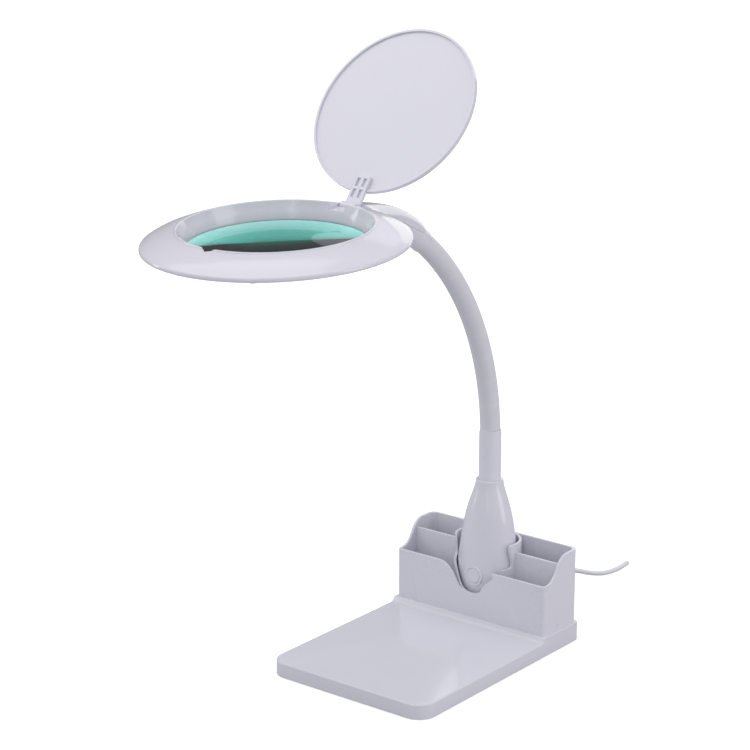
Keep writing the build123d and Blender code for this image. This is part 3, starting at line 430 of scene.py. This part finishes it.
# ===========================================================================
# Floor, light and camera
# ===========================================================================

FLOOR_HALF_SIZE = 6.0
FLOOR_GLOW = 0.5             # lifts the floor to white in the camera's view
FLOOR_BOUNCE = (0.5, 0.5, 0.52)
SKY_STRENGTH = 0.68
MIRRORED_SKY_STRENGTH = 0.27  # the studio's walls, as glossy surfaces mirror them


def seen_or_through_glass(tree):
    """1 where the camera looks, straight or through the lens; 0 for other light."""
    path = tree.nodes.new("ShaderNodeLightPath")
    either = tree.nodes.new("ShaderNodeMath")
    either.operation = "MAXIMUM"
    tree.links.new(path.outputs["Is Camera Ray"], either.inputs[0])
    tree.links.new(path.outputs["Is Transmission Ray"], either.inputs[1])
    return either.outputs["Value"]


def build_floor():
    """A plain pale sheet that looks white but throws back little light."""
    mesh = bpy.data.meshes.new("floor")
    half = FLOOR_HALF_SIZE
    corners = [(-half, -half, 0), (half, -half, 0), (half, half, 0), (-half, half, 0)]
    mesh.from_pydata(corners, [], [(0, 1, 2, 3)])
    floor = bpy.data.objects.new("floor", mesh)
    bpy.context.scene.collection.objects.link(floor)
    material, tree, shader = new_material("floor_paper")
    shader.inputs["Roughness"].default_value = 0.95
    shader.inputs["Specular IOR Level"].default_value = 0.1
    tone = spread(tree, noise(tree, 3.0), 0.0, 1.0)
    tree.links.new(
        two_tone(tree, tone, (0.93, 0.93, 0.93), (0.95, 0.95, 0.95)),
        shader.inputs["Base Color"],
    )
    shader.inputs["Emission Color"].default_value = (1, 1, 1, 1)
    shader.inputs["Emission Strength"].default_value = FLOOR_GLOW
    dim = tree.nodes.new("ShaderNodeBsdfDiffuse")
    dim.inputs["Color"].default_value = (*FLOOR_BOUNCE, 1.0)
    mix = tree.nodes.new("ShaderNodeMixShader")
    tree.links.new(seen_or_through_glass(tree), mix.inputs["Fac"])
    tree.links.new(dim.outputs["BSDF"], mix.inputs[1])
    tree.links.new(shader.outputs["BSDF"], mix.inputs[2])
    tree.links.new(mix.outputs["Shader"], tree.nodes["Material Output"].inputs["Surface"])
    mesh.materials.append(material)


def softbox(name, place, target, size, power):
    """A rectangular area light that faces a target."""
    data = bpy.data.lights.new(name, "AREA")
    data.shape = "RECTANGLE"
    data.size, data.size_y = size
    data.energy = power
    lamp = bpy.data.objects.new(name, data)
    lamp.location = place
    aim = Vector(target) - Vector(place)
    lamp.rotation_euler = aim.to_track_quat("-Z", "Y").to_euler()
    bpy.context.scene.collection.objects.link(lamp)


def build_world():
    """White where the camera sees it, soft studio grey for everything else."""
    world = bpy.data.worlds.new("studio")
    bpy.context.scene.world = world
    world.use_nodes = True
    tree = world.node_tree
    seen = tree.nodes["Background"]
    seen.inputs["Color"].default_value = (1, 1, 1, 1)
    seen.inputs["Strength"].default_value = 1.0
    lit = tree.nodes.new("ShaderNodeBackground")
    lit.inputs["Color"].default_value = (0.95, 0.95, 1.0, 1)
    glossy = tree.nodes.new("ShaderNodeLightPath")
    strength = tree.nodes.new("ShaderNodeMapRange")
    strength.inputs["To Min"].default_value = SKY_STRENGTH
    strength.inputs["To Max"].default_value = MIRRORED_SKY_STRENGTH
    tree.links.new(glossy.outputs["Is Glossy Ray"], strength.inputs["Value"])
    tree.links.new(strength.outputs["Result"], lit.inputs["Strength"])
    mix = tree.nodes.new("ShaderNodeMixShader")
    tree.links.new(seen_or_through_glass(tree), mix.inputs["Fac"])
    tree.links.new(lit.outputs["Background"], mix.inputs[1])
    tree.links.new(seen.outputs["Background"], mix.inputs[2])
    tree.links.new(mix.outputs["Shader"], tree.nodes["World Output"].inputs["Surface"])


def build_camera():
    """The view from the front right, a little above the head."""
    data = bpy.data.cameras.new("camera")
    data.lens = CAMERA_LENS
    data.sensor_width = 36.0
    camera = bpy.data.objects.new("camera", data)
    camera.location = CAMERA_PLACE
    camera.rotation_euler = (math.pi / 2 - CAMERA_ELEVATION, 0.0, CAMERA_AZIMUTH)
    bpy.context.scene.collection.objects.link(camera)
    bpy.context.scene.camera = camera


build_floor()
build_world()
softbox("top_box", (-0.3, -0.3, 1.5), (0, -0.05, 0.2), (1.4, 1.4), 5.5)
softbox("left_strip", (-1.1, -0.5, 0.6), (0, 0, 0.25), (0.16, 1.1), 1.4)
softbox("right_box", (1.5, 0.3, 0.7), (0, 0, 0.2), (0.8, 1.2), 5.0)
softbox("front_strip", (0.5, -1.7, 0.9), (0, 0, 0.25), (0.2, 1.2), 1.0)
softbox("back_panel", (-0.55, 1.9, 0.75), (0, 0, 0.1), (1.3, 1.1), 4.0)
build_camera()
bpy.context.scene.view_settings.view_transform = "Standard"
